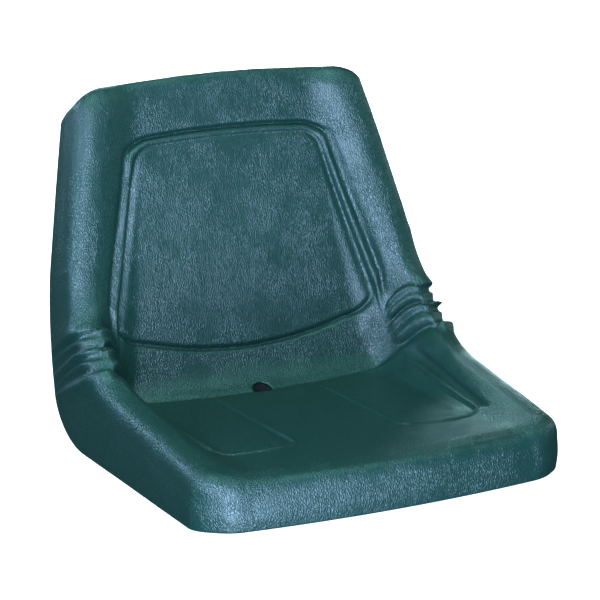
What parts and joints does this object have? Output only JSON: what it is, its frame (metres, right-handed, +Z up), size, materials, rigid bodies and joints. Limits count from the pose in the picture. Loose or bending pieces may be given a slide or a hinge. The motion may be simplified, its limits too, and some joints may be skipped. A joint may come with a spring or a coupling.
{
  "type": "riding mower seat",
  "caption": "High-back riding-mower seat: moulded vinyl cover with pleated side bolsters on foam and steel pans, sprung flexing backrest and operator-presence switch.",
  "frame": {"origin": "centre of the seat's bounding box on the plane it stands on, the undersides of its mounting rails", "axes": "+Z up, the seat faces -Y, and the sitter's left is +X"},
  "size_m": [0.5302, 0.5292, 0.4435],
  "materials": {
    "vinyl": "satin",
    "foam": "matte",
    "black_steel": "satin",
    "zinc_steel": "satin",
    "spring_steel": "satin",
    "black_plastic": "matte",
    "rubber": "matte",
    "bronze": "satin",
    "copper_contact": "polished",
    "white_plastic": "gloss"
  },
  "bodies": {
    "base": {"seat_cover": "vinyl", "bellows_left": "vinyl", "bellows_right": "vinyl", "crease_panel": "vinyl", "seat_foam": "foam", "seat_pan": "black_steel", "mounting_rail_left": "black_steel", "mounting_rail_right": "black_steel", "seat_retainer_strip": "black_plastic", "drain_grommet": "rubber", "stop_buffer_left": "rubber", "stop_buffer_right": "rubber", "switch_housing": "black_plastic", "switch_terminal_left": "copper_contact", "switch_terminal_right": "copper_contact", "switch_spring": "spring_steel", "torsion_spring_left": "spring_steel", "torsion_spring_right": "spring_steel", "switch_screw_left": "zinc_steel", "switch_screw_right": "zinc_steel", "hinge_bracket_left": "zinc_steel", "hinge_bolt_left": "zinc_steel", "hinge_nut_left": "zinc_steel", "weld_nut_front_left": "zinc_steel", "weld_nut_rear_left": "zinc_steel", "hinge_bracket_right": "zinc_steel", "hinge_bolt_right": "zinc_steel", "hinge_nut_right": "zinc_steel", "weld_nut_front_right": "zinc_steel", "weld_nut_rear_right": "zinc_steel"},
    "backrest": {"back_cover": "vinyl", "back_foam": "foam", "back_pan": "black_steel", "back_retainer_strip": "black_plastic", "hinge_arm_left": "zinc_steel", "hinge_arm_right": "zinc_steel", "hinge_bush_left": "bronze", "hinge_bush_right": "bronze"},
    "plunger": {"switch_plunger": "white_plastic", "switch_contact": "copper_contact"}
  },
  "joints": [
    {"name": "backrest_flex", "type": "hinge", "parent": "base", "child": "backrest", "pos_m": [0, 0.155, 0.062], "axis": [-1, 0, 0], "range_deg": [0, 8], "stiffness_Nm_per_rad": 250, "springref_deg": -3.44, "deforming": ["bellows_left", "bellows_right", "crease_panel", "torsion_spring_left", "torsion_spring_right"]},
    {"name": "switch_press", "type": "slide", "parent": "base", "child": "plunger", "axis": [0, 0, -1], "range_m": [0, 0.005], "stiffness_N_per_m": 400, "springref_m": -0.008, "deforming": ["switch_spring"]}
  ]
}
